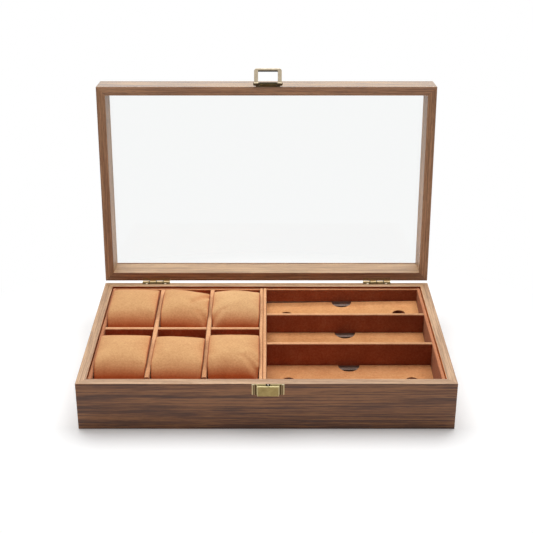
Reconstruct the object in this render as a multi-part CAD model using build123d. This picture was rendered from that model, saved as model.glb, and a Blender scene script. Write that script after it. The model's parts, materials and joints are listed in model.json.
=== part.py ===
from build123d import *
import os
from math import cos, radians, sin, tan

# A walnut display box for six watches and three pairs of glasses. Its lid is a deep frame round a sheet
# of glass, hung on two brass hinges that stop it just past upright, and held shut by a brass hasp.
# Millimetres. X runs to the right, Y to the back and Z up, from the middle of the underside.
# The lid is drawn closed, and is swung open at the end, because the box stands open at rest.

# Walnut case and lid
case_width = 365.0
case_depth = 221.0
base_height = 50.8
lid_height = 34.2
board_thickness = 9.5
arris_radius = 0.5
parting_gap = 0.2
lid_open_angle = 95.13

# Bottom sheet and the felt under it
panel_thickness = 4.0
felt_thickness = 1.0
rebate_depth = 4.0
panel_clearance = 0.2

# Glass in the lid
glass_thickness = 2.5
glass_recess = 29.5
groove_depth = 3.0
groove_clearance = 0.05
glass_edge_clearance = 0.4

# Suede covered trays
tray_top_drop = 1.0
tray_floor_thickness = 2.5
tray_wall = 3.6
front_wall_drop = 1.5
tray_front_gap = 0.7
tray_back_gap = 2.5
tray_side_gap = 0.7
tray_middle_gap = 0.2
watch_tray_width = 168.5
soft_edge_radius = 1.4
divider_thickness = 4.7
divider_end_clearance = 0.2
halving_clearance = 0.1
watch_columns = 3
back_cell_depth = 88.3
back_bay_depth = 56.6
middle_bay_depth = 59.6

# Watch pillows
pillow_side_clearance = 0.6
pillow_seat_gap = 0.3
pillow_height = 52.4
pillow_draw_in = 1.3
pillow_seat_shares = ((0.93, 0.0), (0.985, 0.12), (1.0, 0.26))
pillow_shoulder_share = 0.42
pillow_squareness = 0.58
pillow_section_step = 14

# Sloping floor boards of the glasses tray
floor_board_thickness = 3.0
floor_board_slope = 6.0
floor_board_gap = 0.3
back_board_rise = 21.4
back_board_roll = 1.0
back_board_eyes = 26.0
middle_board_rise = 15.0
middle_board_roll = 0.0
middle_board_eyes = 27.0
front_board_rise = 11.1
front_board_roll = 0.1
front_board_eyes = 28.0
notch_radius = 11.0
eye_radius = 7.2
eye_from_end = 22.0
ledge_width = 4.0
ledge_height = 6.0
ledge_end_clearance = 0.3

# Brass hinges
hinge_inset = 57.5
hinge_length = 31.0
knuckle_count = 4
knuckle_gap = 0.3
barrel_radius = 2.0
hinge_pin_radius = 0.8
pin_clearance = 0.05
pivot_behind = 2.05
pivot_below = 0.75
leaf_thickness = 1.0
leaf_reach = 3.6
pocket_clearance = 0.1
stop_reach = 3.4
stop_thickness = 1.5
stop_clearance = 0.03

# Countersunk brass screws
screw_head_radius = 1.2
screw_head_depth = 0.9
screw_radius = 0.6
screw_length = 7.0
screw_slot_width = 0.4
screw_slot_depth = 0.4
screw_spacing = 21.0
screw_from_back = 1.8
screw_clearance = 0.05

# Brass hasp on the lid
latch_x = 1.5
hasp_plate_width = 26.0
hasp_plate_height = 20.0
hasp_plate_thickness = 0.8
hasp_pin_out = 2.95
hasp_pin_up = 0.5
hasp_barrel_radius = 1.9
hasp_pin_radius = 0.9
hasp_pin_head = 0.9
hasp_pin_end_radius = 1.1
hasp_knuckle_length = 17.8
hasp_knuckle_gap = 0.25
loop_width = 29.5
loop_length = 16.6
loop_window_width = 21.0
loop_window_length = 13.0
loop_thickness = 1.4
loop_corner_radius = 3.0
loop_inner_radius = 0.4
loop_edge_radius = 0.3
loop_lead_in = 1.0
loop_lead_in_depth = 0.8
hasp_nail_spacing = 17.0
hasp_nail_height = 13.0

# Brass catch on the base
catch_plate_width = 31.2
catch_plate_height = 11.5
catch_plate_drop = 0.2
catch_plate_thickness = 0.8
boss_width = 21.3
boss_height = 11.0
boss_depth = 2.4
boss_side_draft = 0.4
boss_end_draft = 0.4
boss_drop = 1.3
prong_thickness = 0.8
prong_height = 5.0
prong_depth = 5.0
prong_inset = 1.6
nail_head_radius = 1.2
nail_head_height = 0.6
nail_head_round_share = 0.7
nail_radius = 0.6
nail_length = 6.0
nail_drop = 1.4
nail_pocket_radius = 2.2
nail_pocket_depth = 1.0
nail_clearance = 0.05

# How far a cut runs past the faces that it opens
overcut = 1.0

# Places that follow from the sizes above
right_face = case_width / 2
back_face = case_depth / 2
inner_x = right_face - board_thickness
inner_y = back_face - board_thickness
lid_rim = base_height + parting_gap
lid_top = lid_rim + lid_height
panel_top = felt_thickness + panel_thickness
tray_bottom = panel_top + tray_floor_thickness
tray_top = base_height - tray_top_drop
tray_front = tray_front_gap - inner_y
tray_back = inner_y - tray_back_gap
cell_front = tray_front + tray_wall
cell_back = tray_back - tray_wall
watch_left = tray_side_gap - inner_x
watch_right = watch_left + watch_tray_width
glasses_left = watch_right + tray_middle_gap
glasses_right = inner_x - tray_side_gap
pivot_y = back_face + pivot_behind
pivot_z = base_height - pivot_below
hasp_y = -back_face - hasp_pin_out
hasp_z = lid_rim + hasp_pin_up


def block(x0, x1, y0, y1, z0, z1):
    """A box between two corners."""
    return Pos((x0 + x1) / 2, (y0 + y1) / 2, (z0 + z1) / 2) * Box(x1 - x0, y1 - y0, z1 - z0)


def rod_x(x0, x1, y, z, radius):
    """A round bar along X."""
    return Pos((x0 + x1) / 2, y, z) * Rot(0, 90, 0) * Cylinder(radius, x1 - x0)


def prism_x(outline, x0, x1):
    """An outline of (y, z) points drawn out along X."""
    plane = Plane(origin=(x0, 0, 0), x_dir=(0, 1, 0), z_dir=(1, 0, 0))
    return extrude(plane * make_face(Polyline(*outline, close=True)), x1 - x0)


def swing(shape, degrees_open):
    """Turns a piece of the lid open about the hinge pins."""
    there = Pos(0, pivot_y, pivot_z)
    return there * Rot(-degrees_open, 0, 0) * there.inverse() * shape


# Mitred boards, shared by the case and the lid


def mitre_wedge(side):
    """The stretch of plan that one board keeps, cut at 45 degrees through the outer corners."""
    x, y, k = right_face, back_face, 1.5 * board_thickness
    front = [(-x, -y), (x, -y), (x - k, k - y), (k - x, k - y)]
    left = [(-x, -y), (k - x, k - y), (k - x, y - k), (-x, y)]
    outline = {
        "front": front,
        "back": [(px, -py) for px, py in front],
        "left": left,
        "right": [(-px, py) for px, py in left],
    }[side]
    return extrude(make_face(Polyline(*outline, close=True)), lid_top + overcut)


def walnut_ring(z0, z1, rim_z):
    """Four boards in one piece, with the outer arrises and the inner arris of the rim eased."""
    outside = block(-right_face, right_face, -back_face, back_face, z0, z1)
    ring = fillet(outside.edges(), arris_radius)
    ring -= block(-inner_x, inner_x, -inner_y, inner_y, z0 - overcut, z1 + overcut)
    rim = ring.faces().filter_by(Axis.Z).filter_by(lambda f: abs(f.center().Z - rim_z) < 0.01)[0]
    return fillet(rim.inner_wires()[0].edges(), arris_radius)


def cut_boards(ring, names):
    """The ring sawn into its front, back, left and right boards."""
    sides = ("front", "back", "left", "right")
    return {name: ring & mitre_wedge(side) for side, name in zip(sides, names)}


# Hinges


def hinge_centres():
    return {"left": hinge_inset - right_face, "right": right_face - hinge_inset}


def knuckle_spans(x, first):
    """Every other stretch of the barrel, from the first one given: 0 is the base's, 1 the lid's."""
    pitch = hinge_length / knuckle_count
    left = x - hinge_length / 2
    starts = [left + i * pitch for i in range(first, knuckle_count, 2)]
    return [(s + knuckle_gap / 2, s + pitch - knuckle_gap / 2) for s in starts]


def screw(grow=0.0):
    """A countersunk screw with its head flush at Z 0 and its shank down, grown all round for its hole."""
    head_radius = screw_head_radius + grow
    shank_radius = screw_radius + grow
    head = Pos(0, 0, -screw_head_depth / 2) * Cone(shank_radius, head_radius, screw_head_depth)
    shank = Pos(0, 0, -screw_length / 2) * Cylinder(shank_radius, screw_length + 2 * grow)
    return head + shank


def slotted_screw():
    slot = Pos(0, 0, -screw_slot_depth / 2) * Box(4 * screw_head_radius, screw_slot_width, screw_slot_depth)
    return screw() - slot


def screw_places(x, z, turn):
    """The two screws of one leaf, as locations."""
    y = back_face - screw_from_back
    return [Pos(x + s * screw_spacing / 2, y, z) * Rot(turn, 0, 0) for s in (-1, 1)]


def base_screw_places(x):
    return screw_places(x, base_height, 0)


def lid_screw_places(x):
    return screw_places(x, lid_rim, 180)


def hinge_pockets(z0, z1):
    """The shallow pockets in the back board or rail that the leaves lie in."""
    half = hinge_length / 2 + pocket_clearance
    front = back_face - leaf_reach - pocket_clearance
    return [block(x - half, x + half, front, back_face + overcut, z0, z1) for x in hinge_centres().values()]


def drill(solid, places, grow):
    for place in places:
        solid -= place * screw(grow)
    return solid


def base_leaf(x):
    """The leaf on the case, with its knuckles and the ledge below them that stops the lid."""
    half = hinge_length / 2
    top = base_height
    leaf = block(x - half, x + half, back_face - leaf_reach, back_face, top - leaf_thickness, top)
    stop_low = pivot_z - stop_reach
    stop_top = pivot_z - barrel_radius - pocket_clearance
    leaf += block(x - half, x + half, back_face, pivot_y, stop_low, stop_top)
    for x0, x1 in knuckle_spans(x, 0):
        leaf += rod_x(x0, x1, pivot_y, pivot_z, barrel_radius)
        leaf += block(x0, x1, back_face - leaf_reach, pivot_y, top - leaf_thickness, top)
        leaf += block(x0, x1, back_face, pivot_y, stop_low, pivot_z)
        leaf -= rod_x(x0 - overcut, x1 + overcut, pivot_y, pivot_z, hinge_pin_radius + pin_clearance)
    return drill(leaf, base_screw_places(x), screw_clearance)


def lid_leaf(x):
    """The leaf on the lid, with its knuckles and the heels that meet the stop when the lid is open."""
    half = hinge_length / 2
    z0, z1 = lid_rim, lid_rim + leaf_thickness
    leaf = block(x - half, x + half, back_face - leaf_reach, back_face, z0, z1)
    for x0, x1 in knuckle_spans(x, 1):
        leaf += rod_x(x0, x1, pivot_y, pivot_z, barrel_radius)
        leaf += block(x0, x1, back_face - leaf_reach, pivot_y, z0, z1)
        y0, y1 = pivot_y + stop_clearance, pivot_y + stop_thickness
        leaf += swing(block(x0, x1, y0, y1, pivot_z - stop_reach, pivot_z), -lid_open_angle)
        leaf -= rod_x(x0 - overcut, x1 + overcut, pivot_y, pivot_z, hinge_pin_radius + pin_clearance)
    return drill(leaf, lid_screw_places(x), screw_clearance)


def hinge_pin(x):
    return rod_x(x - hinge_length / 2, x + hinge_length / 2, pivot_y, pivot_z, hinge_pin_radius)


# Nails of the hasp and the catch


def nail(grow=0.0):
    """A round-headed nail that sits on the plane Z 0, with its shank down."""
    head = Pos(0, 0, nail_head_height / 2) * Cylinder(nail_head_radius, nail_head_height)
    head = fillet(head.edges().group_by(Axis.Z)[-1], nail_head_round_share * nail_head_height)
    return head + Pos(0, 0, -nail_length / 2) * Cylinder(nail_radius + grow, nail_length + 2 * grow)


def nail_place(x, z, plate):
    """On the front, with the head on a plate of the thickness given."""
    return Pos(x, -back_face - plate, z) * Rot(90, 0, 0)


def hasp_nail_places():
    z = lid_rim + hasp_nail_height
    return [nail_place(latch_x + s * hasp_nail_spacing / 2, z, hasp_plate_thickness) for s in (-1, 1)]


def catch_nail_place():
    return nail_place(latch_x, base_height - nail_drop, catch_plate_thickness)


# Catch


def catch_prongs(grow=0.0):
    """The two prongs bent back from the plate into the front board."""
    z = base_height - catch_plate_drop - catch_plate_height / 2
    x = catch_plate_width / 2 - prong_inset
    half_x, half_z = prong_thickness / 2 + grow, prong_height / 2 + grow
    back = prong_depth + grow - back_face
    return [
        block(cx - half_x, cx + half_x, -back_face, back, z - half_z, z + half_z)
        for cx in (latch_x - x, latch_x + x)
    ]


def catch_plate():
    """A plate nailed to the front board, with a pressed boss that the loop wedges onto.

    The nail's head lies half behind the boss's upper lip, in a pocket that is open at the top."""
    top = base_height - catch_plate_drop
    y = -back_face - catch_plate_thickness
    half = catch_plate_width / 2
    plate = block(latch_x - half, latch_x + half, y, -back_face, top - catch_plate_height, top)
    middle = base_height - boss_drop - boss_height / 2
    root = Plane(origin=(latch_x, y, middle), x_dir=(1, 0, 0), z_dir=(0, -1, 0))
    plate += block(latch_x - boss_width / 2, latch_x + boss_width / 2, y, -back_face,
                   middle - boss_height / 2, middle + boss_height / 2)
    face_width = boss_width - 2 * boss_side_draft
    face_height = boss_height - 2 * boss_end_draft
    sections = [root * Rectangle(boss_width, boss_height)]
    sections.append(root.offset(boss_depth) * Rectangle(face_width, face_height))
    plate += loft(sections, ruled=True)
    pocket = Pos(latch_x, y - nail_pocket_depth / 2, base_height - nail_drop) * Rot(90, 0, 0)
    plate -= pocket * Cylinder(nail_pocket_radius, nail_pocket_depth)
    plate -= catch_nail_place() * Cylinder(nail_radius + nail_clearance, 4 * catch_plate_thickness)
    for prong in catch_prongs():
        plate += prong
    return plate


# Hasp


def hasp_plate():
    """The plate on the lid, whose lower edge curls round the pin between the loop's knuckles."""
    half = hasp_plate_width / 2
    y = -back_face - hasp_plate_thickness
    plate = block(latch_x - half, latch_x + half, y, -back_face, hasp_z, hasp_z + hasp_plate_height)
    half = hasp_knuckle_length / 2
    plate += rod_x(latch_x - half, latch_x + half, hasp_y, hasp_z, hasp_barrel_radius)
    plate += block(latch_x - half, latch_x + half, hasp_y, -back_face, hasp_z, hasp_z + hasp_plate_thickness)
    x0, x1 = latch_x - half - overcut, latch_x + half + overcut
    plate -= rod_x(x0, x1, hasp_y, hasp_z, hasp_pin_radius + pin_clearance)
    for place in hasp_nail_places():
        plate -= place * Cylinder(nail_radius + nail_clearance, 4 * hasp_plate_thickness)
    return plate


def hasp_loop():
    """The flat brass loop, standing square to the lid's front, with a knuckle at the foot of each side.

    The window's far edge slopes on the side that meets the catch, to lead the loop onto the boss."""
    width = loop_width / 2
    window = loop_window_width / 2
    outside = block(latch_x - width, latch_x + width, hasp_y - loop_length, hasp_y,
                    hasp_z - loop_thickness / 2, hasp_z + loop_thickness / 2)
    corners = outside.edges().filter_by(Axis.Z).group_by(Axis.Y)[0]
    outside = fillet(corners, loop_corner_radius)
    inside = block(latch_x - window, latch_x + window, hasp_y - loop_window_length, hasp_y + loop_length,
                   hasp_z - loop_thickness, hasp_z + loop_thickness)
    corners = inside.edges().filter_by(Axis.Z).group_by(Axis.Y)[0]
    inside = fillet(corners, loop_inner_radius)
    loop = outside - inside
    faces = loop.faces().filter_by(Axis.Z)
    loop = fillet(faces.edges(), loop_edge_radius)
    y, z = hasp_y - loop_window_length, hasp_z - loop_thickness / 2
    slope = [(y, z + loop_lead_in_depth), (y - loop_lead_in, z)]
    slope += [(y - loop_lead_in, z - overcut), (y, z - overcut)]
    loop -= prism_x(slope, latch_x - window, latch_x + window)
    foot = hasp_knuckle_length / 2 + hasp_knuckle_gap
    clear = hasp_barrel_radius + pin_clearance
    loop -= block(latch_x - foot, latch_x + foot, hasp_y - clear, hasp_y + overcut,
                  hasp_z - loop_thickness, hasp_z + loop_thickness)
    for x0, x1 in ((latch_x - width, latch_x - foot), (latch_x + foot, latch_x + width)):
        loop += rod_x(x0, x1, hasp_y, hasp_z, hasp_barrel_radius)
        loop -= rod_x(x0 - overcut, x1 + overcut, hasp_y, hasp_z, hasp_pin_radius + pin_clearance)
    return loop


def hasp_pin():
    """The pin, with a tapered head outside each of the loop's knuckles."""
    end = loop_width / 2 + pocket_clearance
    pin = rod_x(latch_x - end, latch_x + end, hasp_y, hasp_z, hasp_pin_radius)
    for side in (-1, 1):
        head = Cone(hasp_barrel_radius, hasp_pin_end_radius, hasp_pin_head)
        place = Pos(latch_x + side * (end + hasp_pin_head / 2), hasp_y, hasp_z)
        pin += place * Rot(0, side * 90, 0) * head
    return pin


# Case and lid in walnut


def case_boards():
    ring = walnut_ring(0, base_height, base_height)
    x, y = inner_x + rebate_depth, inner_y + rebate_depth
    ring -= block(-x, x, -y, y, -overcut, panel_top)
    for pocket in hinge_pockets(base_height - leaf_thickness, base_height + overcut):
        ring -= pocket
    for x in hinge_centres().values():
        ring = drill(ring, base_screw_places(x), screw_clearance)
    for prong in catch_prongs(nail_clearance):
        ring -= prong
    ring -= catch_nail_place() * nail(nail_clearance)
    names = ("base_front_board", "base_back_board", "base_left_board", "base_right_board")
    return cut_boards(ring, names)


def lid_boards():
    ring = walnut_ring(lid_rim, lid_top, lid_rim)
    x, y = inner_x + groove_depth, inner_y + groove_depth
    z0 = lid_rim + glass_recess - groove_clearance
    ring -= block(-x, x, -y, y, z0, z0 + glass_thickness + 2 * groove_clearance)
    for pocket in hinge_pockets(lid_rim - overcut, lid_rim + leaf_thickness):
        ring -= pocket
    for x in hinge_centres().values():
        ring = drill(ring, lid_screw_places(x), screw_clearance)
    for place in hasp_nail_places():
        ring -= place * nail(nail_clearance)
    return cut_boards(ring, ("lid_front_rail", "lid_back_rail", "lid_left_rail", "lid_right_rail"))


def lid_glass():
    x = inner_x + groove_depth - glass_edge_clearance
    y = inner_y + groove_depth - glass_edge_clearance
    z = lid_rim + glass_recess
    return block(-x, x, -y, y, z, z + glass_thickness)


def bottom_sheets():
    """The panel in its rebate, and the felt that lies flush with the boards' lower edges."""
    x = inner_x + rebate_depth - panel_clearance
    y = inner_y + rebate_depth - panel_clearance
    panel = block(-x, x, -y, y, felt_thickness, panel_top)
    felt = block(-x, x, -y, y, 0, felt_thickness)
    return {"base_panel": panel, "base_felt": felt}


# Suede covered trays


def soft_top(solid, thickness):
    """Rounds the upper long edges, where the suede is wrapped over the board."""
    top = solid.faces().sort_by(Axis.Z)[-1]
    longest = top.edges().sort_by(SortBy.LENGTH)[-2:]
    return fillet(longest, min(soft_edge_radius, 0.45 * thickness))


def tray_shell(name, x0, x1):
    """A tray's floor and its four walls. The side walls run the full depth, and the front wall is lower."""
    inner0, inner1 = x0 + tray_wall, x1 - tray_wall
    front_top = tray_top - front_wall_drop
    return {
        name + "_floor": block(inner0, inner1, cell_front, cell_back, panel_top, tray_bottom),
        name + "_left_wall": soft_top(
            block(x0, inner0, tray_front, tray_back, panel_top, tray_top), tray_wall),
        name + "_right_wall": soft_top(
            block(inner1, x1, tray_front, tray_back, panel_top, tray_top), tray_wall),
        name + "_front_wall": soft_top(
            block(inner0, inner1, tray_front, cell_front, panel_top, front_top), tray_wall),
        name + "_back_wall": soft_top(
            block(inner0, inner1, cell_back, tray_back, panel_top, tray_top), tray_wall),
    }


def watch_cell_width():
    inner = watch_tray_width - 2 * tray_wall
    return (inner - (watch_columns - 1) * divider_thickness) / watch_columns


def watch_cell_left(column):
    return watch_left + tray_wall + column * (watch_cell_width() + divider_thickness)


def cross_front():
    """The front face of the cross divider."""
    return cell_back - back_cell_depth - divider_thickness


def watch_dividers():
    """Long dividers slotted from below, and one cross divider slotted from above, halved together."""
    half_z = (tray_bottom + tray_top) / 2
    y0, y1 = cell_front + divider_end_clearance, cell_back - divider_end_clearance
    x0 = watch_left + tray_wall + divider_end_clearance
    x1 = watch_right - tray_wall - divider_end_clearance
    across = block(x0, x1, cross_front(), cross_front() + divider_thickness, tray_bottom, tray_top)
    across = soft_top(across, divider_thickness)
    slot0 = cross_front() - halving_clearance
    slot1 = cross_front() + divider_thickness + halving_clearance
    pieces = {}
    for column, side in ((1, "left"), (2, "right")):
        x = watch_cell_left(column)
        long = soft_top(block(x - divider_thickness, x, y0, y1, tray_bottom, tray_top), divider_thickness)
        long -= block(x - divider_thickness - overcut, x + overcut, slot0, slot1,
                      tray_bottom - overcut, half_z)
        pieces["watch_divider_" + side] = long
        across -= block(x - divider_thickness - halving_clearance, x + halving_clearance,
                        slot0 - overcut, slot1 + overcut, half_z, tray_top + overcut)
    pieces["watch_cross_divider"] = across
    return pieces


def glasses_bays():
    """The front and back of the three bays."""
    back0 = cell_back - back_bay_depth
    middle1 = back0 - divider_thickness
    middle0 = middle1 - middle_bay_depth
    return {
        "back": (back0, cell_back),
        "middle": (middle0, middle1),
        "front": (cell_front, middle0 - divider_thickness),
    }


def glasses_dividers():
    x0 = glasses_left + tray_wall + divider_end_clearance
    x1 = glasses_right - tray_wall - divider_end_clearance
    bays = glasses_bays()
    pieces = {}
    for name, bay in (("back", "back"), ("front", "middle")):
        y1 = bays[bay][0]
        board = block(x0, x1, y1 - divider_thickness, y1, tray_bottom, tray_top)
        pieces["glasses_divider_" + name] = soft_top(board, divider_thickness)
    return pieces


# Sloping floor boards


def board_lies():
    """For each board the height of its front edge, its roll, and how far its eyes are from its back edge."""
    return {
        "back": (tray_bottom + back_board_rise, back_board_roll, back_board_eyes),
        "middle": (tray_bottom + middle_board_rise, middle_board_roll, middle_board_eyes),
        "front": (tray_bottom + front_board_rise, front_board_roll, front_board_eyes),
    }


def rolled(shape, rise, roll):
    """Tips a board or a ledge about the middle of the board's front edge, right end up."""
    there = Pos((glasses_left + glasses_right) / 2, 0, rise)
    return there * Rot(0, -roll, 0) * there.inverse() * shape


def board_underside(bay_front, rise, y):
    """The height of a floor board's underside at Y, before its roll."""
    slope = radians(floor_board_slope)
    run = y - bay_front - floor_board_gap
    return rise + run * tan(slope) - floor_board_thickness / cos(slope)


def floor_board(bay, lie):
    """A loose board with a finger notch in its back edge and two round eyes, lying on its ledges."""
    (bay_front, bay_back), (rise, roll, eyes) = bay, lie
    half = (glasses_right - glasses_left) / 2 - tray_wall - floor_board_gap
    thickness = floor_board_thickness
    slope = radians(floor_board_slope)
    depth = (bay_back - bay_front - 2 * floor_board_gap - thickness * sin(slope)) / cos(slope)
    board = block(-half, half, 0, depth, -thickness, 0)
    board -= Pos(0, depth, -thickness / 2) * Cylinder(notch_radius, 2 * thickness)
    for side in (-1, 1):
        eye = Pos(side * (half - eye_from_end), depth - eyes, -thickness / 2)
        board -= eye * Cylinder(eye_radius, 2 * thickness)
    place = Pos((glasses_left + glasses_right) / 2, bay_front + floor_board_gap, rise)
    return rolled(place * Rot(floor_board_slope, 0, 0) * board, rise, roll)


def ledge(y0, y1, bay_front, rise, roll):
    """A strip glued to a wall, with its top cut to the slope of the board that lies on it."""
    top0 = board_underside(bay_front, rise, y0)
    top1 = board_underside(bay_front, rise, y1)
    low = top0 - ledge_height
    outline = [(y0, low), (y1, low), (y1, top1), (y0, top0)]
    x0 = glasses_left + tray_wall + ledge_end_clearance
    x1 = glasses_right - tray_wall - ledge_end_clearance
    return rolled(prism_x(outline, x0, x1), rise, roll)


def ledges():
    pieces = {}
    lies = board_lies()
    for name, (bay_front, bay_back) in glasses_bays().items():
        rise, roll, _ = lies[name]
        pieces["ledge_" + name + "_high"] = ledge(bay_back - ledge_width, bay_back, bay_front, rise, roll)
        pieces["ledge_" + name + "_low"] = ledge(bay_front, bay_front + ledge_width, bay_front, rise, roll)
    return pieces


def floor_boards():
    lies = board_lies()
    return {name + "_floor_board": floor_board(bay, lies[name]) for name, bay in glasses_bays().items()}


# Watch pillows


def pillow_section(half_x, half_y, bulge, z):
    """Four arcs from corner to corner; a negative bulge draws the sides in between the corners."""
    corners = [(-half_x, -half_y), (half_x, -half_y), (half_x, half_y), (-half_x, half_y)]
    middles = [(0, -half_y - bulge), (half_x + bulge, 0), (0, half_y + bulge), (-half_x - bulge, 0)]
    arcs = [ThreePointArc(corners[i], middles[i], corners[(i + 1) % 4]) for i in range(4)]
    return Pos(0, 0, z) * make_face(arcs)


def pillow_profile():
    """How wide the pillow is at each height, both as shares: a tucked seat, then a squarish crown."""
    crown = []
    for angle in range(0, 90, pillow_section_step):
        across = cos(radians(angle)) ** pillow_squareness
        up = sin(radians(angle)) ** pillow_squareness
        crown.append((across, pillow_shoulder_share + (1 - pillow_shoulder_share) * up))
    return [*pillow_seat_shares, *crown]


def pillow_depth():
    """All six are alike, so they fit the shorter row of cells."""
    front_cell_depth = cross_front() - cell_front
    return min(back_cell_depth, front_cell_depth) - 2 * pillow_side_clearance


def pillow():
    """A stuffed suede pillow: a flat seat, sides drawn in between the corners, and a crowned top."""
    half_x = watch_cell_width() / 2 - pillow_side_clearance
    half_y = pillow_depth() / 2
    sections = []
    for share, height in pillow_profile():
        bulge = pillow_draw_in * (4 * (1 - share) - 1)
        sections.append(pillow_section(share * half_x, share * half_y, bulge, height * pillow_height))
    return loft(sections)


def pillows():
    """The back three lie against the back wall and the front three against the front wall."""
    shape = pillow()
    reach = pillow_depth() / 2 + pillow_side_clearance
    rows = {"back": cell_back - reach, "front": cell_front + reach}
    pieces = {}
    for row, y in rows.items():
        for column, side in enumerate(("left", "middle", "right")):
            x = watch_cell_left(column) + watch_cell_width() / 2
            place = Pos(x, y, tray_bottom + pillow_seat_gap)
            pieces["pillow_" + row + "_" + side] = place * shape
    return pieces


# Everything put together


def fixed_pieces():
    pieces = {**case_boards(), **bottom_sheets()}
    pieces.update(tray_shell("watch_tray", watch_left, watch_right))
    pieces.update(watch_dividers())
    pieces.update(tray_shell("glasses_tray", glasses_left, glasses_right))
    pieces.update(glasses_dividers())
    pieces.update(ledges())
    for side, x in hinge_centres().items():
        pieces[side + "_hinge_base_leaf"] = base_leaf(x)
        pieces[side + "_hinge_pin"] = hinge_pin(x)
    places = [p for x in hinge_centres().values() for p in base_screw_places(x)]
    pieces["hinge_base_screws"] = Compound(children=[p * slotted_screw() for p in places])
    pieces["catch_plate"] = catch_plate()
    pieces["catch_nail"] = catch_nail_place() * nail()
    return pieces


def lid_pieces():
    pieces = {**lid_boards(), "lid_glass": lid_glass()}
    for side, x in hinge_centres().items():
        pieces[side + "_hinge_lid_leaf"] = lid_leaf(x)
    places = [p for x in hinge_centres().values() for p in lid_screw_places(x)]
    pieces["hinge_lid_screws"] = Compound(children=[p * slotted_screw() for p in places])
    pieces["hasp_plate"] = hasp_plate()
    pieces["hasp_pin"] = hasp_pin()
    pieces["hasp_nails"] = Compound(children=[p * nail() for p in hasp_nail_places()])
    pieces["hasp_loop"] = hasp_loop()
    return {name: swing(piece, lid_open_angle) for name, piece in pieces.items()}


def all_pieces():
    return {**fixed_pieces(), **lid_pieces(), **pillows(), **floor_boards()}


os.makedirs("parts", exist_ok=True)
model = all_pieces()
for name, piece in model.items():
    export_step(piece, "parts/" + name + ".step")
print(len(model), "nodes written")
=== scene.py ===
import bmesh
import bpy
import json
from math import cos, exp, radians, sin
from mathutils import Matrix, Vector, noise


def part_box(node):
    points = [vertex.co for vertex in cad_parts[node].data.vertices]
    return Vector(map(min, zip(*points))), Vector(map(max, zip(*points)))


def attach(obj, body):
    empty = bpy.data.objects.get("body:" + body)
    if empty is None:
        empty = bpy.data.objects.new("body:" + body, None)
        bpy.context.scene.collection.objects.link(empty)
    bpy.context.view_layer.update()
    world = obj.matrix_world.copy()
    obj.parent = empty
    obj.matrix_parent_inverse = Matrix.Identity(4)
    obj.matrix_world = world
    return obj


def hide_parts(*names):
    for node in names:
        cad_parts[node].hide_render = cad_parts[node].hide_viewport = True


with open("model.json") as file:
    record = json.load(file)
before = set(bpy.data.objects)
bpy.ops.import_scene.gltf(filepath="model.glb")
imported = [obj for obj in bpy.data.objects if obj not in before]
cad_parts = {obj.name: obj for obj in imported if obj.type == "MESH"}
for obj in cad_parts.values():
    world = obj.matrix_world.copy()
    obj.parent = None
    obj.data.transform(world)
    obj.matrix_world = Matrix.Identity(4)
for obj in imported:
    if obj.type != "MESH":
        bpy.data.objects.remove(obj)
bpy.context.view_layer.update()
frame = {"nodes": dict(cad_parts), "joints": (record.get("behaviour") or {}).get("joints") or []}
parts = frame["nodes"]

# Camera
# It stands about a metre in front of the box and looks down at it. Its place is counted from the middle of
# the front board's upper edge.
board_low, board_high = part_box("base_front_board")
camera_back = 0.9017
camera_up = 0.5425
camera_pitch = 24.94
camera_lens = 74.28

camera_data = bpy.data.cameras.new("camera")
camera_data.lens = camera_lens
camera_data.sensor_width = 36
camera = bpy.data.objects.new("camera", camera_data)
camera.location = (0, board_low.y - camera_back, board_high.z + camera_up)
camera.rotation_euler = (radians(90 - camera_pitch), 0, 0)
bpy.context.scene.collection.objects.link(camera)
bpy.context.scene.camera = camera
bpy.context.scene.view_settings.view_transform = "Standard"


# Studio
# A pale floor that runs into a white background, one wide soft lamp overhead, set back a little, and
# a weak even light from all round.
def shader_node(tree, kind, feeds=None, **settings):
    """Adds a node; feeds gives its inputs, by name or number, a socket or a value."""
    made = tree.nodes.new("ShaderNode" + kind)
    for key, value in settings.items():
        setattr(made, key, value)
    for key, value in (feeds or {}).items():
        if isinstance(value, bpy.types.NodeSocket):
            tree.links.new(value, made.inputs[key])
        else:
            made.inputs[key].default_value = value
    return made


def maths(tree, operation, a, b=0.0):
    """The result of one sum on two values."""
    return shader_node(tree, "Math", {0: a, 1: b}, operation=operation).outputs[0]


def smooth_step(tree, value, low, high, to_low=0.0, to_high=1.0):
    feeds = {"Value": value, "From Min": low, "From Max": high, "To Min": to_low, "To Max": to_high}
    return shader_node(tree, "MapRange", feeds, interpolation_type="SMOOTHSTEP").outputs["Result"]


def seen_directly(tree):
    """One for the rays that show the background: straight, mirrored or through glass."""
    path = shader_node(tree, "LightPath").outputs
    either = maths(tree, "MAXIMUM", path["Is Camera Ray"], path["Is Glossy Ray"])
    return maths(tree, "MAXIMUM", either, path["Is Transmission Ray"])


floor_size = 12.0
floor_paint = 0.62
floor_seen_paint = 0.82
floor_glow = 0.195
floor_shaded_reach = 0.34
floor_fade = 0.14
floor_shade_shift = 0, 0.03, 0
floor_shade_squeeze = 0.8, 1, 1

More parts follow.
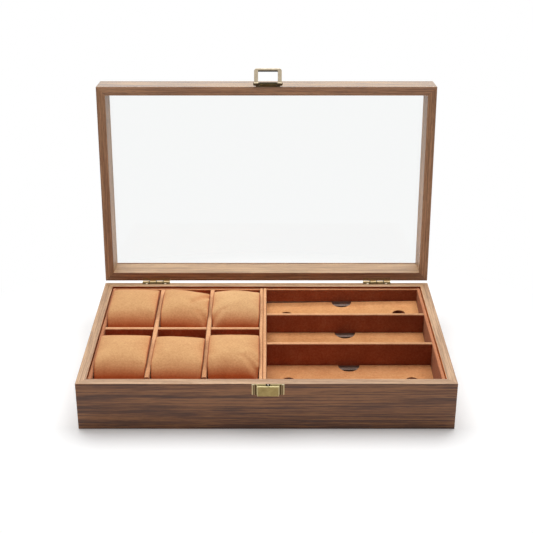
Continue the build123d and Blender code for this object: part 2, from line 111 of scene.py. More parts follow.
bpy.ops.mesh.primitive_plane_add(size=floor_size)
floor = bpy.context.object
floor.name = "studio_floor"
floor_finish = bpy.data.materials.new("studio_floor")
floor_finish.use_nodes = True
tree = floor_finish.node_tree
tree.nodes.clear()
place = shader_node(tree, "TexCoord").outputs["Object"]
shade_at = {"Vector": place, "Location": floor_shade_shift, "Scale": floor_shade_squeeze}
squeezed = shader_node(tree, "Mapping", shade_at)
reach = shader_node(tree, "VectorMath", {0: squeezed.outputs[0]}, operation="LENGTH").outputs["Value"]
far = smooth_step(tree, reach, floor_shaded_reach - floor_fade, floor_shaded_reach)
seen = seen_directly(tree)
shown = smooth_step(tree, seen, 0, 1, floor_paint, floor_seen_paint)
paint = shader_node(tree, "BsdfDiffuse", {"Color": shown})
near_glow = shader_node(tree, "Emission", {"Strength": maths(tree, "MULTIPLY", seen, floor_glow)})
near = shader_node(tree, "AddShader", {0: paint.outputs[0], 1: near_glow.outputs[0]})
white = shader_node(tree, "Emission", {"Strength": 1.0})
share = maths(tree, "MULTIPLY", far, seen)
mixed = shader_node(tree, "MixShader", {0: share, 1: near.outputs[0], 2: white.outputs[0]})
shader_node(tree, "OutputMaterial", {"Surface": mixed.outputs[0]})
floor.data.materials.append(floor_finish)

ambient_strength = 0.08
world = bpy.data.worlds.new("studio")
bpy.context.scene.world = world
world.use_nodes = True
tree = world.node_tree
tree.nodes.clear()
strength = smooth_step(tree, seen_directly(tree), 0, 1, ambient_strength, 1.0)
sky = shader_node(tree, "Background", {"Color": (1, 1, 1, 1), "Strength": strength})
shader_node(tree, "OutputWorld", {"Surface": sky.outputs[0]})


def soft_lamp(name, size, place, aim, watts):
    """A rectangular lamp that points at a place and isn't seen itself."""
    data = bpy.data.lights.new(name, "AREA")
    data.shape = "RECTANGLE"
    data.size, data.size_y = size
    data.energy = watts
    lamp = bpy.data.objects.new(name, data)
    lamp.location = place
    lamp.rotation_euler = (Vector(aim) - Vector(place)).to_track_quat("-Z", "Y").to_euler()
    lamp.visible_camera = False
    bpy.context.scene.collection.objects.link(lamp)
    return lamp


lamp_size, lamp_watts = (1.9, 1.2), 34
lamp_place, lamp_aim = (0, 0.42, 1.35), (0, 0.05, 0)
soft_lamp("overhead_lamp", lamp_size, lamp_place, lamp_aim, lamp_watts)


# Walnut case
# Four mitred walnut boards with a dark satin veneer outside and paler wood on their upper edges, stained
# inside. The grain runs along each board.
def new_finish(name):
    """A new material, with its tree and its shader."""
    material = bpy.data.materials.new(name)
    material.use_nodes = True
    tree = material.node_tree
    return material, tree, tree.nodes["Principled BSDF"]


def ramp(tree, factor, stops):
    """A colour ramp through (position, colour) stops."""
    made = shader_node(tree, "ValToRGB", {"Fac": factor})
    points = made.color_ramp.elements
    while len(points) < len(stops):
        points.new(0.5)
    for point, (position, colour) in zip(points, stops):
        point.position = position
        point.color = (*colour, 1)
    return made.outputs["Color"]


def spread(tree, value, low, high, to_low=0.0, to_high=1.0):
    """Spreads the value's range from low to high over another range, and stops at its ends."""
    feeds = {"Value": value, "From Min": low, "From Max": high, "To Min": to_low, "To Max": to_high}
    return shader_node(tree, "MapRange", feeds).outputs["Result"]


def blended(tree, *layers):
    """The sum of values, each times its weight."""
    total = 0.0
    for value, weight in layers:
        feeds = {0: value, 1: weight, 2: total}
        total = shader_node(tree, "Math", feeds, operation="MULTIPLY_ADD").outputs[0]
    return total


def mixed_colour(tree, factor, a, b, blend="MIX"):
    """Colour a where the factor is nothing, and b or its blend with a where it is one."""
    made = shader_node(tree, "Mix", {0: factor, 6: a, 7: b}, data_type="RGBA", blend_type=blend)
    return made.outputs[2]


def noise_at(tree, place, scale=1.0, detail=2.0, roughness=0.5, distortion=0.0):
    feeds = {"Vector": place, "Scale": scale, "Detail": detail, "Roughness": roughness, "Distortion": distortion}
    return shader_node(tree, "TexNoise", feeds).outputs["Fac"]


def stretched(tree, place, along, across):
    """The place squeezed along the grain, so that a pattern is drawn out that way."""
    return shader_node(tree, "Mapping", {"Vector": place, "Scale": (along, across, across)}).outputs[0]


veneer = [(0.0, (0.095, 0.035, 0.014)), (0.5, (0.255, 0.110, 0.045)), (1.0, (0.460, 0.225, 0.100))]
bare_walnut = [(0.0, (0.270, 0.140, 0.064)), (0.5, (0.410, 0.235, 0.117)), (1.0, (0.540, 0.335, 0.185))]
pore_brown = 0.075, 0.032, 0.015
satin_coat, glossy_coat = (0.3, 0.38), (0.78, 0.22)


def walnut(name, turn, shift, outward, tints=(), coat=satin_coat):
    """Walnut whose grain runs along X once the board is turned; outward is the way its veneered face looks.

    Each tint is a direction and the colour that the wood of the faces on that side is multiplied by. The coat
    of lacquer is given by its weight and its roughness."""
    material, tree, shader = new_finish(name)
    coordinates = shader_node(tree, "TexCoord").outputs
    turned = shader_node(tree, "Mapping", {"Vector": coordinates["Object"], "Rotation": turn}).outputs[0]
    turned = shader_node(tree, "VectorMath", {0: turned, 1: shift}).outputs[0]
    figure = noise_at(tree, stretched(tree, turned, 2.6, 24), 1.0, 1.5, 0.4)
    rings = shader_node(tree, "Math", {0: maths(tree, "MULTIPLY", figure, 11.0), 1: 0.5}, operation="PINGPONG")
    rings = maths(tree, "MULTIPLY", rings.outputs[0], 2.0)
    bands = noise_at(tree, stretched(tree, turned, 2.5, 110), 1.0, 2)
    streaks = noise_at(tree, stretched(tree, turned, 4.5, 700), 1.0, 2, 0.6)
    dashes = noise_at(tree, stretched(tree, turned, 24, 1000), 1.0, 2, 0.6)
    fibres = noise_at(tree, stretched(tree, turned, 70, 1600), 1.0, 2, 0.6)
    pores = noise_at(tree, stretched(tree, turned, 120, 2300), 1.0, 1)
    clouds = noise_at(tree, stretched(tree, turned, 6, 30), 1.0, 2)
    layers = (rings, 0.10), (bands, 0.34), (streaks, 0.74), (dashes, 0.80), (fibres, 0.40), (clouds, 0.16)
    tone = spread(tree, blended(tree, *layers), 1.11, 1.43)
    side = shader_node(tree, "VectorMath", {0: coordinates["Normal"], 1: outward}, operation="DOT_PRODUCT")
    outside = smooth_step(tree, side.outputs["Value"], 0.35, 0.9)
    wood = mixed_colour(tree, outside, ramp(tree, tone, bare_walnut), ramp(tree, tone, veneer))
    pore_mask = spread(tree, pores, 0.60, 0.70)
    wood = mixed_colour(tree, maths(tree, "MULTIPLY", pore_mask, 0.5), wood, (*pore_brown, 1))
    for direction, tint in tints:
        side = shader_node(tree, "VectorMath", {0: coordinates["Normal"], 1: direction}, operation="DOT_PRODUCT")
        facing = smooth_step(tree, side.outputs["Value"], 0.6, 0.9)
        wood = mixed_colour(tree, facing, wood, mixed_colour(tree, 1.0, wood, (*tint, 1), "MULTIPLY"))
    tree.links.new(wood, shader.inputs["Base Color"])
    tree.links.new(spread(tree, streaks, 0.2, 0.8, 0.58, 0.44), shader.inputs["Roughness"])
    shader.inputs["Coat Weight"].default_value, shader.inputs["Coat Roughness"].default_value = coat
    height = blended(tree, (fibres, 0.6), (streaks, 0.4), (pore_mask, -0.8))
    bump = shader_node(tree, "Bump", {"Height": height, "Strength": 0.45, "Distance": 0.00012})
    tree.links.new(bump.outputs["Normal"], shader.inputs["Normal"])
    return material


def dress(finish, *names):
    """Gives carried-over nodes their finish."""
    for name in names:
        part = parts[name]
        part.data.materials.clear()
        part.data.materials.append(finish)


quarter = radians(90)
# Inside the right board the stain also carries painted light, brighter than the wood, so that the shaded gap
# beside the tray looks lit.
stained, right_stain_and_painted_light = (0.90, 0.36, 0.11), (1.80, 0.90, 0.30)
veneer_tint = 1.03, 0.86, 0.70
case_boards = {
    "front": ((0, 0, 0), (0.11, 0.0, 0.0), (0, -1, 0), [((0, -1, 0), veneer_tint), ((0, 1, 0), stained)]),
    "back": ((0, 0, 0), (0.53, 0.31, 0.0), (0, 1, 0), [((0, -1, 0), stained)]),
    "left": ((0, 0, quarter), (0.27, 0.0, 0.19), (-1, 0, 0), [((1, 0, 0), stained)]),
    "right": ((0, 0, quarter), (0.81, 0.13, 0.07), (1, 0, 0), [((-1, 0, 0), right_stain_and_painted_light)]),
}
for side, finish in case_boards.items():
    dress(walnut("walnut_" + side, *finish), "base_" + side + "_board")


# Lid rails
# Four deep walnut rails round the glass, veneered outside like the case. The front rail is polished most. The
# grain is turned back with the open lid, so that it runs true on every face.
lid_open = radians(-frame["joints"][0]["range_deg"][0])
lean_y, lean_z = sin(lid_open - quarter), cos(lid_open - quarter)
lid_top = 0, lean_y, lean_z
lid_mouth = 0, -lean_z, lean_y
lid_foot = 0, -lean_y, -lean_z
turned_back = lid_open, 0, 0
turned_across = lid_open, 0, quarter
lid_rails = {
    "front": (turned_back, (0.33, 0.0, 0.41), lid_top,
              [(lid_mouth, (1.26, 1.02, 0.85)), (lid_top, (0.84, 0.94, 0.62))], glossy_coat),
    "back": (turned_back, (0.71, 0.23, 0.0), lid_foot,
             [(lid_mouth, (0.85, 0.69, 0.66)), (lid_top, (0.93, 0.93, 0.87))]),
    "left": (turned_across, (0.05, 0.0, 0.57), (-1, 0, 0), [(lid_mouth, (1.28, 1.10, 1.04))]),
    "right": (turned_across, (0.61, 0.29, 0.13), (1, 0, 0), [(lid_mouth, (1.25, 1.09, 1.02))]),
}
for side, finish in lid_rails.items():
    dress(walnut("walnut_lid_" + side, *finish), "lid_" + side + "_rail")


# Glass
# One clear sheet of glass, held in a groove of the rails. It is coated, so that it mirrors little of the box,
# and lamps shine through it.
def clear_glass():
    material, tree, shader = new_finish("clear_glass")
    shader.inputs["Base Color"].default_value = (0.925, 0.935, 0.932, 1)
    shader.inputs["Transmission Weight"].default_value = 1.0
    shader.inputs["Roughness"].default_value = 0.0
    shader.inputs["IOR"].default_value = 1.22
    place = shader_node(tree, "TexCoord").outputs["Object"]
    smear = noise_at(tree, stretched(tree, place, 9, 14), 1.0, 3)
    bump = shader_node(tree, "Bump", {"Height": smear, "Strength": 0.02, "Distance": 0.0005})
    tree.links.new(bump.outputs["Normal"], shader.inputs["Normal"])
    clear = shader_node(tree, "BsdfTransparent", {"Color": (0.93, 0.94, 0.935, 1)})
    shadow = shader_node(tree, "LightPath").outputs["Is Shadow Ray"]
    lit_through = shader_node(tree, "MixShader", {0: shadow, 1: shader.outputs[0], 2: clear.outputs[0]})
    tree.links.new(lit_through.outputs[0], tree.nodes["Material Output"].inputs["Surface"])
    return material


dress(clear_glass(), "lid_glass")


# Bottom sheet
# A plain hardboard panel that lies in a rebate of the case under the trays, with black felt glued to its
# underside.
def flecked_board(name, base, fleck):
    material, tree, shader = new_finish(name)
    place = shader_node(tree, "TexCoord").outputs["Object"]
    chips = noise_at(tree, place, 700, 3, 0.7)
    tone = mixed_colour(tree, spread(tree, chips, 0.35, 0.65), (*base, 1), (*fleck, 1))
    tree.links.new(tone, shader.inputs["Base Color"])
    shader.inputs["Roughness"].default_value = 0.85
    bump = shader_node(tree, "Bump", {"Height": chips, "Strength": 0.5, "Distance": 0.0002})
    tree.links.new(bump.outputs["Normal"], shader.inputs["Normal"])
    return material


dress(flecked_board("panel_board", (0.15, 0.085, 0.05), (0.25, 0.16, 0.10)), "base_panel")


def felt():
    material, tree, shader = new_finish("black_felt")
    place = shader_node(tree, "TexCoord").outputs["Object"]
    fuzz = noise_at(tree, place, 1800, 4, 0.75)
    tufts = noise_at(tree, place, 160, 2)
    tone = mixed_colour(tree, spread(tree, tufts, 0.3, 0.7), (0.012, 0.012, 0.013, 1), (0.035, 0.034, 0.036, 1))
    tree.links.new(tone, shader.inputs["Base Color"])
    shader.inputs["Roughness"].default_value = 1.0
    shader.inputs["Sheen Weight"].default_value = 0.5
    shader.inputs["Sheen Roughness"].default_value = 0.6
    bump = shader_node(tree, "Bump", {"Height": fuzz, "Strength": 0.8, "Distance": 0.0004})
    tree.links.new(bump.outputs["Normal"], shader.inputs["Normal"])
    return material


dress(felt(), "base_felt")


# Suede covered trays
# Two loose trays of thin board, wrapped in tan suede. It is given a paler colour with painted sheen and light
# where it faces up, and a deeper orange-brown as painted shade where it stands upright.
# The edge ramp is the suede's colour with painted sheen and light, for faces that look up; the face ramp is
# painted shade, for upright faces.
sheen_lit_wall_edge = [(0.0, (0.560, 0.262, 0.124)), (0.5, (0.680, 0.359, 0.180)), (1.0, (0.757, 0.437, 0.242))]
shaded_wall_face = [(0.0, (0.330, 0.095, 0.040)), (0.5, (0.425, 0.138, 0.064)), (1.0, (0.510, 0.195, 0.096))]


def toned(stops, *shade):
    """The stops of a ramp, each colour multiplied by a shade."""
    return [(position, tuple(a * b for a, b in zip(colour, shade))) for position, colour in stops]


def suede(name, top, side, bare_below=None, upright=(0.45, 0.97), mottled=0.34, nap_scale=420, tints=(),
          rough=0.6, spread_over=(0.39, 0.71)):
    """Tan suede, paler with painted sheen and light where it faces up, deeper with painted shade where it stands
    upright. Below the height given the board is left bare.

    Each tint has a place or a normal, its axis, where it starts and is full, and the colour that the suede
    is multiplied by."""
    material, tree, shader = new_finish(name)
    coordinates = shader_node(tree, "TexCoord").outputs
    place = coordinates["Object"]
    mottle = noise_at(tree, place, 55, 3, 0.6)
    nap = noise_at(tree, place, nap_scale, 3, 0.65, 0.4)
    hairs = noise_at(tree, place, 2600, 2, 0.7)
    tone = blended(tree, (mottle, mottled), (nap, 0.86 - mottled), (hairs, 0.24))
    tone = spread(tree, tone, *spread_over)
    upward = shader_node(tree, "SeparateXYZ", {"Vector": coordinates["Normal"]}).outputs["Z"]
    colour = mixed_colour(tree, spread(tree, upward, *upright), ramp(tree, tone, side), ramp(tree, tone, top))
    if bare_below is not None:
        height = shader_node(tree, "SeparateXYZ", {"Vector": place}).outputs["Z"]
        wrapped = smooth_step(tree, height, bare_below - 0.0003, bare_below + 0.0003)
        chips = noise_at(tree, place, 900, 3, 0.7)
        bare = mixed_colour(tree, chips, (0.25, 0.175, 0.145, 1), (0.42, 0.31, 0.26, 1))
        colour = mixed_colour(tree, wrapped, bare, colour)
    for source, axis, start, full, tint in tints:
        reach = shader_node(tree, "SeparateXYZ", {"Vector": coordinates[source]}).outputs[axis]
        tinted = mixed_colour(tree, 1.0, colour, (*tint, 1), "MULTIPLY")
        colour = mixed_colour(tree, smooth_step(tree, reach, start, full), colour, tinted)
    tree.links.new(colour, shader.inputs["Base Color"])
    shader.inputs["Roughness"].default_value = 0.95
    shader.inputs["Specular IOR Level"].default_value = 0.15
    shader.inputs["Sheen Weight"].default_value = 0.22
    shader.inputs["Sheen Roughness"].default_value = 0.5
    shader.inputs["Sheen Tint"].default_value = (1.0, 0.70, 0.42, 1)
    fuzz = blended(tree, (nap, 0.5), (hairs, 0.5))
    bump = shader_node(tree, "Bump", {"Height": fuzz, "Strength": rough, "Distance": 0.0003})
    tree.links.new(bump.outputs["Normal"], shader.inputs["Normal"])
    return material


edge_on = 0.10, 0.75
# Darker copies as painted shade: the tops of the left and right tray walls, and the right wall's inner face.
shaded_left_edge = toned(sheen_lit_wall_edge, 0.61, 0.45, 0.42)
shaded_right_edge, shaded_right_face = toned(sheen_lit_wall_edge, 0.69, 0.51, 0.49), toned(shaded_wall_face, 0.60, 0.36, 0.26)
rear_edge = toned(sheen_lit_wall_edge, 0.82, 0.66, 0.58)
bay_face, bay_shade = toned(shaded_wall_face, 0.95, 0.88, 0.95), (0.80, 0.80, 0.80)
divider_shade, shade_start, shade_full = (0.77, 0.68, 0.63), 0.055, 0.015
bare_margin = 0.001

tray_suede = suede("tray_suede", sheen_lit_wall_edge, shaded_wall_face, None, edge_on)
for name in parts:
    if name.startswith(("watch_", "glasses_")):
        dress(tray_suede, name)
dress(suede("outer_suede", shaded_left_edge, shaded_wall_face, None, edge_on), "watch_tray_left_wall")
dress(suede("shaded_suede", shaded_right_edge, shaded_right_face, None, edge_on), "glasses_tray_right_wall")
dress(suede("rear_suede", rear_edge, shaded_wall_face, None, edge_on), "watch_tray_back_wall")

near_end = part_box("watch_divider_left")[0].y
deeper = "Object", "Y", near_end + shade_start, near_end + shade_full, divider_shade
divider_suede = suede("divider_suede", sheen_lit_wall_edge, shaded_wall_face, None, edge_on, tints=[deeper])
dress(divider_suede, "watch_divider_left", "watch_divider_right")

bay_walls = {
    "glasses_tray_back_wall": ("back_floor_board", rear_edge),
    "glasses_divider_back": ("middle_floor_board", sheen_lit_wall_edge),
    "glasses_divider_front": ("front_floor_board", sheen_lit_wall_edge),
}
for wall, (board, edge) in bay_walls.items():
    low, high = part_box(wall)
    darker = "Object", "X", low.x + 0.25 * (high.x - low.x), high.x, bay_shade
    bare_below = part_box(board)[1].z - bare_margin
    dress(suede("suede_" + wall, edge, bay_face, bare_below, tints=[darker]), wall)


# Sloping floor boards
# Three thin boards under suede, one in each glasses bay, with a finger notch at the back and two finger holes.
# They lie loose on bare board ledges that are glued to the walls.
# The top ramp is the suede's colour with painted sheen and light, as on the trays.
sheen_lit_board_top = [(0.0, (0.510, 0.210, 0.080)), (0.5, (0.620, 0.290, 0.118)), (1.0, (0.700, 0.365, 0.168))]
board_light = {"back": (1.01, 1.04, 1.01), "middle": (0.95, 0.95, 0.92), "front": (0.94, 0.91, 0.89)}
# Painted light: each board is made lighter towards its far edge by the wall, where it lies in shade.
far_painted_light, light_start, light_full = (1.24, 1.20, 1.22), 0.020, 0.002
for bay, light in board_light.items():
    far_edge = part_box(bay + "_floor_board")[1].y
    painted_light_near_wall = "Object", "Y", far_edge - light_start, far_edge - light_full, far_painted_light
    finish = suede(bay + "_board_suede", toned(sheen_lit_board_top, *light), shaded_wall_face, tints=[painted_light_near_wall])
    dress(finish, bay + "_floor_board")
grey_board = flecked_board("grey_board", (0.27, 0.185, 0.150), (0.48, 0.36, 0.30))
dress(grey_board, *[name for name in parts if name.startswith("ledge_")])


# Hinges
# Two butt hinges of pressed brass, brushed and lightly aged, each with four knuckles on a pin. Screws hold
# their leaves to the case and to the lid. The knuckles have a painted highlight on top.
def aged_brass(name, bright, dull, roughness, metal=1.0, stains=()):
    """Brushed brass. A stain has its colour, how metallic it is, and its limits: each is a place or a
    normal, an axis, where the stain starts and where it is full."""
    material, tree, shader = new_finish(name)
    coordinates = shader_node(tree, "TexCoord").outputs
    place = coordinates["Object"]
    patches = noise_at(tree, place, 260, 3, 0.6)
    scratches = noise_at(tree, stretched(tree, place, 350, 5200), 1.0, 2)
    tone = spread(tree, blended(tree, (patches, 0.7), (scratches, 0.3)), 0.3, 0.7)
    colour = ramp(tree, tone, [(0.0, dull), (1.0, bright)])
    for stain, stain_metal, *limits in stains:
        share = 1.0
        for source, axis, start, full in limits:
            value = shader_node(tree, "SeparateXYZ", {"Vector": coordinates[source]}).outputs[axis]
            share = maths(tree, "MULTIPLY", share, smooth_step(tree, value, start, full))
        colour = mixed_colour(tree, share, colour, (*stain, 1))
        metal = shader_node(tree, "Mix", {0: share, 2: metal, 3: stain_metal}).outputs[0]
    tree.links.new(colour, shader.inputs["Base Color"])
    if isinstance(metal, float):
        shader.inputs["Metallic"].default_value = metal
    else:
        tree.links.new(metal, shader.inputs["Metallic"])
    tree.links.new(spread(tree, patches, 0.0, 1.0, *roughness), shader.inputs["Roughness"])
    shader.inputs["Specular IOR Level"].default_value = 0.1
    bump = shader_node(tree, "Bump", {"Height": scratches, "Strength": 0.25, "Distance": 0.00003})
    tree.links.new(bump.outputs["Normal"], shader.inputs["Normal"])
    return material


def within(middle, reach, fade):
    """The two limits that keep a stain between both sides of a middle along X."""
    return (("Object", "X", middle - reach, middle - reach + fade),
            ("Object", "X", middle + reach, middle + reach - fade))


hinge_look = (0.26, 0.18, 0.08), (0.09, 0.055, 0.022), (0.30, 0.48), 1.0
painted_highlight_brass, leaf_painted_shade, gap_painted_shade = (0.62, 0.48, 0.27), (0.25, 0.155, 0.085), (0.06, 0.035, 0.015)
highlight_above, leaf_above, stain_fade = 0.0014, 0.0021, 0.0003
knuckles = 4
gap_reach = 0.0007
pivot = frame["joints"][0]["pos_m"][2]
# Painted shade: the lid's leaf is darkened above the knuckles.
leaf_shade_stain = leaf_painted_shade, 1.0, ("Object", "Z", pivot + leaf_above, pivot + leaf_above + stain_fade)
# Painted highlight along the top of the knuckles.
hinge_painted_light = [(painted_highlight_brass, 0.9, ("Object", "Z", pivot + highlight_above, pivot + highlight_above + stain_fade))]
for hinge in ("left", "right"):
    low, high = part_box(hinge + "_hinge_pin")
    # Painted shade in the gaps between the knuckles.
    for knuckle in range(1, knuckles):
        gap = low.x + knuckle * (high.x - low.x) / knuckles
        hinge_painted_light.append((gap_painted_shade, 0.2, *within(gap, gap_reach, stain_fade)))
hinge_brass = aged_brass("hinge_brass", *hinge_look, hinge_painted_light)
leaf_brass = aged_brass("leaf_brass", *hinge_look, [*hinge_painted_light, leaf_shade_stain])
for name in parts:
    if "hinge" in name:
        dress(leaf_brass if "lid_leaf" in name else hinge_brass, name)
# Painted highlight: the case's screws are pale and not metallic, so that they show as glints.
screw_brass = aged_brass("screw_brass", (1.0, 0.92, 0.76), (0.90, 0.80, 0.60), (0.3, 0.45), 0.0)
dress(screw_brass, "hinge_base_screws")
dress(aged_brass("lid_screw_brass", (0.25, 0.16, 0.08), (0.16, 0.10, 0.05), (0.4, 0.6)), "hinge_lid_screws")


# Hasp
# A cast brass loop that swings on a pin in a pressed plate, which is nailed to the lid's front rail. The loop
# is painted nearly black underneath and along the far edge of its window, as painted shade.
painted_shade_black, loop_foot_brown = (0.012, 0.008, 0.004), (0.085, 0.055, 0.026)
window_edge, window_edge_full = 0.0148, 0.0146
window_half, window_fade = 0.0106, 0.0004
foot_above, foot_full = 0.0016, 0.0010
hasp_middle, hasp_height = frame["joints"][1]["pos_m"][0], frame["joints"][1]["pos_m"][2]
# Painted shade: black on the loop's underside and along the far edge of its window. The loop is also darker brown
# round the pin.
loop_painted_shade_and_marks = [
    (painted_shade_black, 0.0, ("Normal", "Z", -0.25, -0.50)),
    (painted_shade_black, 0.0, ("Object", "Z", hasp_height + window_edge, hasp_height + window_edge_full),
     *within(hasp_middle, window_half, window_fade)),
    (loop_foot_brown, 0.5, ("Object", "Z", hasp_height + foot_above, hasp_height + foot_full)),
]
loop_brass = aged_brass("loop_brass", (0.62, 0.53, 0.39), (0.42, 0.34, 0.235), (0.30, 0.50), 1.0, loop_painted_shade_and_marks)
dress(loop_brass, "hasp_loop")
barrel_look = (0.18, 0.135, 0.055), (0.075, 0.050, 0.022), (0.45, 0.6), 0.5
barrel_shade = (0.048, 0.034, 0.013), 0.0, ("Normal", "Z", 0.2, 0.6)
dress(aged_brass("barrel_brass", *barrel_look, [barrel_shade]), "hasp_plate", "hasp_pin")
dress(aged_brass("dark_nails", (0.10, 0.075, 0.045), (0.03, 0.022, 0.015), (0.14, 0.3)), "hasp_nails")


# Catch
# A pressed brass plate on the front of the case, with a boss that the loop goes over and grooves at both
# sides, and bands of painted highlight and shade along them. One nail holds it, and the nail's head stands half
# behind the boss's lip.
# Painted highlight and shade in bands along both sides of the boss and over the flanges, for its edges and ridges.
catch_light_and_shade_bands = (
    (0.0094, 0.0101, (0.560, 0.460, 0.250)), (0.0108, 0.0112, (0.085, 0.050, 0.024)),
    (0.0124, 0.0127, (0.250, 0.175, 0.090)), (0.0134, 0.0138, (0.130, 0.085, 0.042)),
    (0.0143, 0.0147, (0.500, 0.390, 0.220)))
glint, lip_painted_highlight = (0.95, 0.90, 0.74), (0.40, 0.345, 0.185)
glint_from, glint_full = 0.0130, 0.0136
glint_below, glint_full_below = 0.0006, 0.0003
pocket_half, pocket_fade = 0.0023, 0.0002
pocket_depth, pocket_full_depth = 0.0014, 0.0016
catch_low, catch_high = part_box("catch_plate")
catch_middle = (catch_low.x + catch_high.x) / 2
catch_painted_light = []
for side in (-1, 1):
    for start, full, stain in catch_light_and_shade_bands:
        catch_painted_light.append((stain, 1.0, ("Object", "X", catch_middle + side * start, catch_middle + side * full)))
    catch_painted_light.append((
        glint, 0.5, ("Object", "X", catch_middle + side * glint_from, catch_middle + side * glint_full),
        ("Object", "Z", catch_high.z - glint_below, catch_high.z - glint_full_below)))
# Painted highlight on the catch's faces that look up, the boss's top bevel among them.
catch_painted_light.append((lip_painted_highlight, 0.6, ("Normal", "Z", 0.75, 0.92)))
# Painted shade in the pocket behind the boss's lip, where the nail stands.
catch_painted_light.append((
    painted_shade_black, 0.0, *within(catch_middle, pocket_half, pocket_fade),
    ("Object", "Y", catch_low.y + pocket_depth, catch_low.y + pocket_full_depth)))
catch_look = (0.40, 0.30, 0.125), (0.235, 0.168, 0.064), (0.44, 0.62), 1.0
dress(aged_brass("catch_brass", *catch_look, catch_painted_light), "catch_plate")

nail_glint = 1.0, 0.92, 0.74
nail_low, nail_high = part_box("catch_nail")
nail_middle = (nail_low.z + nail_high.z) / 2
# Painted shade on the nail head's lower half and a painted glint on its top.
nail_painted_light = [
    (painted_shade_black, 0.0, ("Object", "Z", nail_middle + 0.0006, nail_middle + 0.0003)),
    (nail_glint, 0.0, ("Object", "Z", nail_high.z - 0.0007, nail_high.z - 0.0005)),
]
nail_look = (0.46, 0.37, 0.18), (0.30, 0.23, 0.10), (0.3, 0.45), 1.0
dress(aged_brass("nail_brass", *nail_look, nail_painted_light), "catch_nail")


# Watch pillows
# Suede cushions round a block of foam: one long piece goes over the top, and an end panel is sewn in at each
# side. Each is a smaller cushion that is blown up as cloth inside its seams, and lies loose in its cell.
# The top ramp is the suede's colour with painted sheen and light, for faces that look up; the front ramp is
# painted shade, for upright faces.
pillow_top = [(0.0, (0.490, 0.235, 0.098)), (0.5, (0.605, 0.332, 0.148)), (1.0, (0.700, 0.420, 0.200))]
pillow_front = [(0.0, (0.385, 0.066, 0.014)), (0.5, (0.485, 0.092, 0.021)), (1.0, (0.575, 0.130, 0.033))]
# Painted shade: the faces at the pillows' ends, which stand in shade beside the dividers, are made darker and
# browner.
shaded_end_panel = 0.62, 0.66, 0.85
shaded_pillow_ends = [("Normal", "X", 0.55, 0.90, shaded_end_panel), ("Normal", "X", -0.55, -0.90, shaded_end_panel)]
pillow_look = None, (0.60, 0.99), 0.30, 560, shaded_pillow_ends, 0.4, (0.34, 0.76)
pillow_suede = suede("pillow_suede", pillow_top, pillow_front, *pillow_look)
pale_suede = suede("pale_suede", toned(pillow_top, 1.05, 1.12, 1.18), pillow_front, *pillow_look)
pillow_front_round = 0.027
pillow_rear_round = 0.018
pillow_crown = 0.0012
pillow_arch = 0.0016
pillow_foot_round = 0.006
pillow_weave = 0.0026
pillow_swell = Vector((0.0, 0.0018, 0.0026))
pillow_corner_draw = 0.055
pillow_lumps = 0.0005
pillow_lump_scale = 60
pillow_side_room = 0.0003
pillow_top_room = 0.0035
pillow_rim_blend = 0.003
pillow_overhang = 0.0012
pillow_most_move = 0.005
seam_depth = 0.0005
cloth_steps = 20


def rounded(mesh, chosen, radius, segments):
    bmesh.ops.bevel(mesh, geom=chosen, offset=radius, segments=segments, profile=0.5, affect="EDGES", material=-1)


def along_x(mesh, half, corner_y, corner_z):
    """The edge along X at one corner of the cushion's outline."""
    for edge in mesh.edges:
        a, b = edge.verts[0].co, edge.verts[1].co
        if abs(a.x - b.x) > half.x and a.y * corner_y > half.y * 0.9 and a.z * corner_z > half.z * 0.9:
            return [edge]


def sewn_blank(name, half):
    """The cushion as it is cut: a long piece over a D-shaped core and a panel at each end, joined by seams."""
    mesh = bmesh.new()
    bmesh.ops.create_cube(mesh, size=2)
    bmesh.ops.scale(mesh, vec=half, verts=mesh.verts)
    rounded(mesh, along_x(mesh, half, -1, 1), pillow_front_round, 11)
    rounded(mesh, along_x(mesh, half, 1, 1), pillow_rear_round, 8)
    rounded(mesh, along_x(mesh, half, -1, -1), pillow_foot_round, 3)
    rounded(mesh, along_x(mesh, half, 1, -1), pillow_foot_round, 3)
    seam = mesh.verts.layers.deform.verify()
    crease = mesh.edges.layers.float.new("crease_edge")
    for axis in range(3):
        steps = int(2 * half[axis] / pillow_weave)
        for step in range(1, steps):
            cut, across = Vector(), Vector()
            cut[axis] = half[axis] * (2 * step / steps - 1)
            across[axis] = 1
            faces = mesh.verts[:] + mesh.edges[:] + mesh.faces[:]
            bmesh.ops.bisect_plane(mesh, geom=faces, dist=0.0003, plane_co=cut, plane_no=across)
    for edge in mesh.edges:
        sides = [abs(face.normal.x) > 0.9 for face in edge.link_faces]
        if sides[0] != sides[1]:
            edge[crease] = 0.6
            for point in edge.verts:
                point[seam][0] = 1.0
    for point in mesh.verts:
        point.co.x *= 1 - pillow_corner_draw * abs(point.co.y / half.y) ** 3
    blank = bpy.data.meshes.new(name + "_blank")
    mesh.to_mesh(blank)
    mesh.free()
    return blank


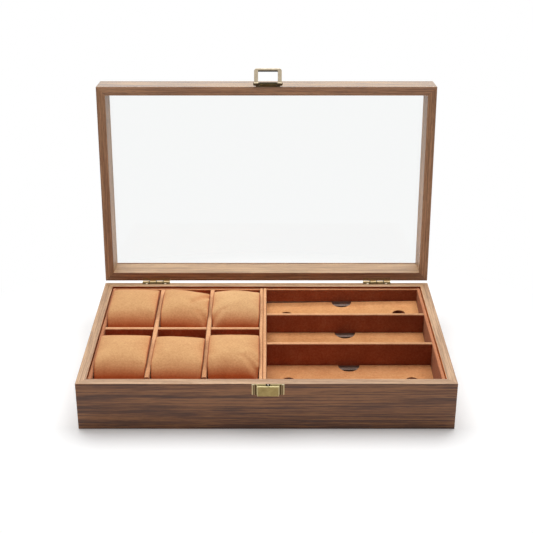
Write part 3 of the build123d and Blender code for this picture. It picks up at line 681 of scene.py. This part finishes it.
def blown_up(blank, pressure):
    """Fills a blank as a cushion between its two sewn seams, and returns the filled mesh."""
    piece = bpy.data.objects.new("blank", blank)
    bpy.context.scene.collection.objects.link(piece)
    piece.vertex_groups.new(name="seam")
    cut = [point.co.copy() for point in blank.vertices]
    cloth = piece.modifiers.new("cloth", "CLOTH")
    settings = cloth.settings
    settings.quality = 6
    settings.mass = 0.2
    settings.tension_stiffness = 3
    settings.compression_stiffness = 3
    settings.shear_stiffness = 1.5
    settings.bending_stiffness = 0.2
    settings.use_pressure = True
    settings.uniform_pressure_force = pressure
    settings.effector_weights.gravity = 0
    settings.vertex_group_mass = "seam"
    cloth.point_cache.frame_end = cloth_steps
    for step in range(1, cloth_steps + 1):
        bpy.context.scene.frame_set(step)
    graph = bpy.context.evaluated_depsgraph_get()
    filled = bpy.data.meshes.new_from_object(piece.evaluated_get(graph))
    for point, start in zip(filled.vertices, cut):
        move = point.co - start
        point.co = start + move * min(1, pillow_most_move / max(move.length, 0.000001))
    bpy.data.objects.remove(piece)
    return filled


def pressed(value, limit, give=0.001):
    """Flattens what would pass the limit against it."""
    start = limit - give
    return value if value < start else start + give * (1 - exp((start - value) / give))


def pull(mesh, start, end, depth, width):
    """A soft fold: the cloth sinks along a line between two places on the top."""
    start, end = Vector(start), Vector(end)
    way = end - start
    for point in mesh.verts:
        flat = Vector((point.co.x, point.co.y))
        share = min(1, max(0, (flat - start).dot(way) / way.length_squared))
        away = (flat - start - way * share).length / width
        point.co.z -= depth * (1 - 0.6 * share) * exp(-away * away) * (1 if point.co.z > 0 else 0)


def pillow(name, tilt, rise, pressure, folds=(), finish=pillow_suede):
    """Fills one pillow, tilts it about its middle, and presses it into its cell."""
    low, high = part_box(name)
    middle, half = (low + high) / 2, (high - low) / 2
    full = half + Vector((pillow_overhang, 0.0, 0.0))
    blank = sewn_blank(name, full - pillow_swell)
    blank = blown_up(blank, pressure)
    mesh = bmesh.new()
    mesh.from_mesh(blank)
    seam = mesh.verts.layers.deform.verify()
    mesh.normal_update()
    for point in mesh.verts:
        if point[seam].get(0, 0) > 0.5:
            point.co -= point.normal * seam_depth
    reach = [max(abs(v.co[i]) for v in mesh.verts) for i in range(1, 3)]
    bmesh.ops.scale(mesh, vec=(1, full.y / reach[0], (full.z + pillow_crown) / reach[1]), verts=mesh.verts)
    for point in mesh.verts:
        point.co.z -= pillow_arch * abs(point.co.x / full.x) ** 3 * max(0, point.co.z / full.z)
    for fold in folds:
        pull(mesh, *fold)
    for turn, axis in zip(tilt, "XYZ"):
        bmesh.ops.rotate(mesh, matrix=Matrix.Rotation(radians(turn), 3, axis), verts=mesh.verts)
    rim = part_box("watch_divider_left")[1].z - middle.z
    for point in mesh.verts:
        place = point.co + Vector((0, 0, rise))
        lump = noise.noise(Vector((place.x, place.y, middle.x)) * pillow_lump_scale)
        place.z += pillow_lumps * lump * max(0, place.z / half.z)
        over = min(1, max(0, (place.z - rim) / pillow_rim_blend))
        room = half + Vector((pillow_side_room + over * pillow_overhang, pillow_side_room, pillow_top_room))
        for i in range(3):
            place[i] = pressed(abs(place[i]), room[i]) * (1 if place[i] > 0 else -1)
        place.z = max(place.z, -half.z)
        point.co = middle + place
    for face in mesh.faces:
        face.smooth = True
    data = bpy.data.meshes.new(name + "_cushion")
    mesh.to_mesh(data)
    mesh.free()
    piece = bpy.data.objects.new(name + "_cushion", data)
    bpy.context.scene.collection.objects.link(piece)
    data.materials.append(finish)
    fine = piece.modifiers.new("fine", "SUBSURF")
    fine.levels = fine.render_levels = 1
    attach(piece, name)
    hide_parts(name)


pillow("pillow_back_left", (0.5, 0.3, -0.3), 0.0, 240)
pillow("pillow_back_middle", (-0.6, 3.6, 0.4), -0.0003, 300, [
    ((0.024, 0.036), (0.012, 0.020), 0.0030, 0.012),
    ((0.024, 0.018), (0.008, -0.006), 0.0028, 0.004),
    ((0.024, -0.034), (0.015, -0.022), 0.0024, 0.003)])
pillow("pillow_back_right", (0.4, -0.6, -0.4), -0.0004, 280, [
    ((-0.025, 0.036), (-0.015, 0.022), 0.0016, 0.009),
    ((0.025, 0.036), (0.012, 0.022), 0.0030, 0.010),
    ((-0.024, -0.032), (-0.013, -0.018), 0.0028, 0.0035)], pale_suede)
pillow("pillow_front_left", (0.8, 0.3, 0.3), -0.0010, 240)
pillow("pillow_front_middle", (1.2, 0.6, -0.5), -0.0026, 280, [((0.025, 0.036), (0.014, 0.024), 0.0016, 0.008)])
pillow("pillow_front_right", (-0.4, 0.4, 0.4), 0.0, 300, [
    ((0.024, -0.034), (0.011, -0.018), 0.0030, 0.0035),
    ((0.025, -0.022), (0.017, -0.014), 0.0020, 0.003)])
bpy.context.scene.frame_set(1)
